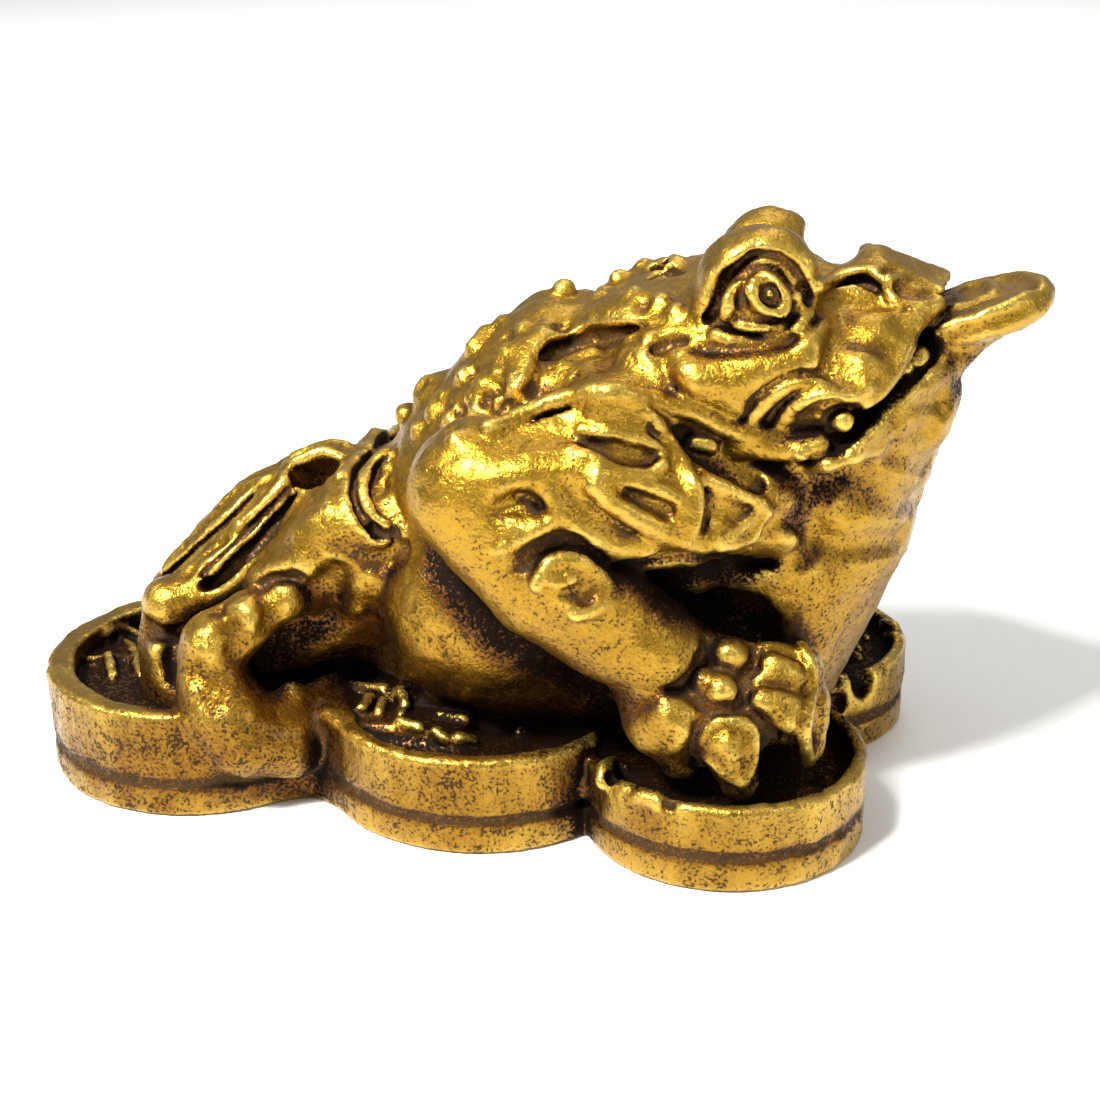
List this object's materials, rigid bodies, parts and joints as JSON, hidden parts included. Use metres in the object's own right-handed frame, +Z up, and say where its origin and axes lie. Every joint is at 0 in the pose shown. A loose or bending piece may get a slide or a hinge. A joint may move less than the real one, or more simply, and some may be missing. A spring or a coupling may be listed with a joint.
{
  "type": "money toad figure",
  "caption": "Three-legged toad with warty back, sitting on a ring of coins with a coin held in its open mouth, cast in one piece.",
  "frame": {"origin": "under the middle of the figure, on the plane it stands on", "axes": "+Z up, +X the way the toad looks, +Y its left"},
  "size_m": [0.0764, 0.0414, 0.0437],
  "materials": {
    "antique_gold": "polished brass gold on the high parts, dark brown patina in the hollows, fine dark specks"
  },
  "bodies": {
    "root": {"money_toad": "antique_gold"}
  },
  "joints": []
}
